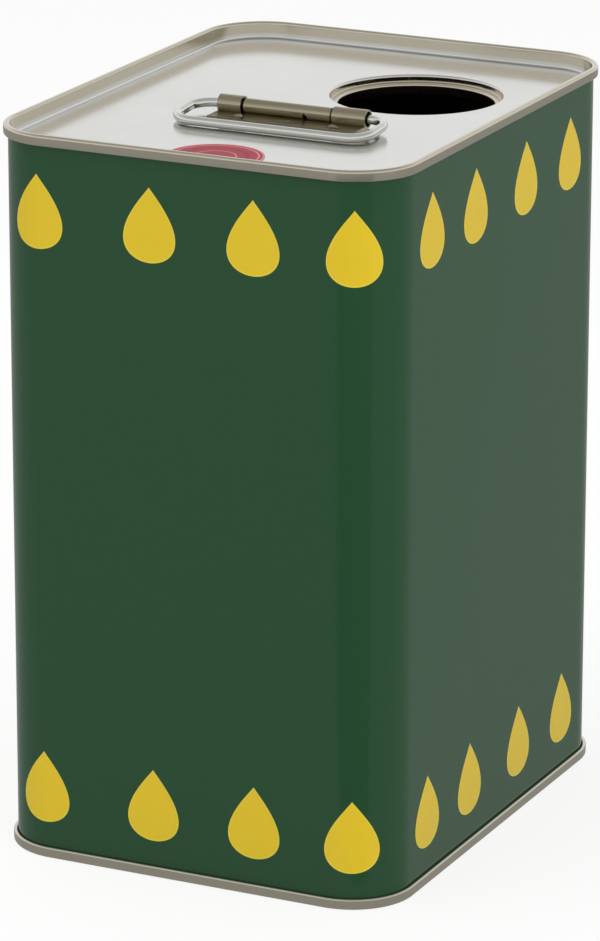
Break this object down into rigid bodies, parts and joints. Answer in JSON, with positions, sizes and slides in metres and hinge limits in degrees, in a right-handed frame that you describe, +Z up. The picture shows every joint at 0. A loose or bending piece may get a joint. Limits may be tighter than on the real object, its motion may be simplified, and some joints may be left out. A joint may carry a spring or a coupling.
{
  "type": "oil tin",
  "caption": "Rectangular tinplate oil tin with double-seamed ends, a round open mouth in the sunk lid and a folding wire handle held in a rolled strap.",
  "frame": {"origin": "middle of the rectangle that the base seam stands on, at the level of the floor", "axes": "+Z up through the lid; the narrower faces look along -Y and +Y, the wider ones along -X and +X; the mouth is in the +X +Y corner"},
  "size_m": [0.117, 0.149, 0.1994],
  "materials": {
    "printed_tinplate": "glossy lithographed green with a yellow drop pattern over tinplate",
    "bare_tinplate": "bright satin tinplate",
    "strap_tinplate": "lacquered tinplate, slightly warm",
    "plated_wire": "bright zinc-plated steel wire",
    "seam_compound": "matt sealing compound",
    "label_film": "satin red film label with plain rings"
  },
  "bodies": {
    "tin": {"body_sheet": "printed_tinplate", "top_end": "bare_tinplate", "bottom_end": "bare_tinplate", "top_seam_compound": "seam_compound", "bottom_seam_compound": "seam_compound", "handle_strap": "strap_tinplate", "lid_label": "label_film"},
    "handle": {"handle_wire": "plated_wire"}
  },
  "joints": [
    {"name": "handle_swing", "type": "hinge", "parent": "tin", "child": "handle", "pos_m": [0.0028, -0.0138, 0.19695], "axis": [-1, 0, 0], "range_deg": [0, 187]}
  ]
}
